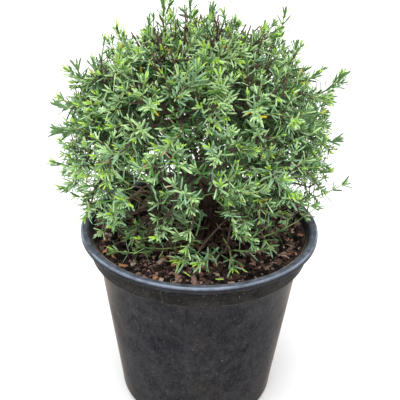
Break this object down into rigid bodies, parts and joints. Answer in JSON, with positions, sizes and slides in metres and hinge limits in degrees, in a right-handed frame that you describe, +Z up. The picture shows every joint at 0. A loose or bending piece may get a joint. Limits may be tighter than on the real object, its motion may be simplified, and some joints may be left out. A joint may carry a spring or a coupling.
{
  "type": "potted westringia",
  "caption": "Clipped, dome-shaped westringia shrub with narrow grey-green leaves, growing from bark-covered mix in a round tapered nursery pot with a rolled lip.",
  "frame": {"origin": "centre of the pot's flat underside", "axes": "+Z up along the pot's axis towards the top of the crown; -Y is the side that the picture shows"},
  "size_m": [0.3031, 0.2884, 0.4367],
  "materials": {
    "pot": "dusty charcoal plastic with a faint sheen",
    "potting_mix": "moist composted bark with pinkish-brown chips",
    "bark": "rough grey-brown bark",
    "foliage": "soft grey-green leaves with pale undersides"
  },
  "bodies": {
    "root": {"pot": "pot", "potting_mix": "potting_mix", "trunk": "bark", "bough_01": "bark", "bough_02": "bark", "bough_03": "bark", "bough_04": "bark", "bough_05": "bark", "bough_06": "bark", "bough_07": "bark", "bough_08": "bark", "bough_09": "bark", "bough_10": "bark", "bough_11": "bark", "bough_12": "bark", "bough_13": "bark", "bough_14": "bark", "bough_15": "bark", "bough_16": "bark", "bough_17": "bark", "bough_18": "bark", "bough_19": "bark", "bough_20": "bark", "bough_21": "bark", "bough_22": "bark", "foliage_01": "foliage", "foliage_02": "foliage", "foliage_03": "foliage", "foliage_04": "foliage", "foliage_05": "foliage", "foliage_06": "foliage", "foliage_07": "foliage", "foliage_08": "foliage", "foliage_09": "foliage", "foliage_10": "foliage", "foliage_11": "foliage", "foliage_12": "foliage", "foliage_13": "foliage", "foliage_14": "foliage", "foliage_15": "foliage", "foliage_16": "foliage", "foliage_17": "foliage", "foliage_18": "foliage", "foliage_19": "foliage", "foliage_20": "foliage", "foliage_21": "foliage", "foliage_22": "foliage"}
  },
  "joints": []
}
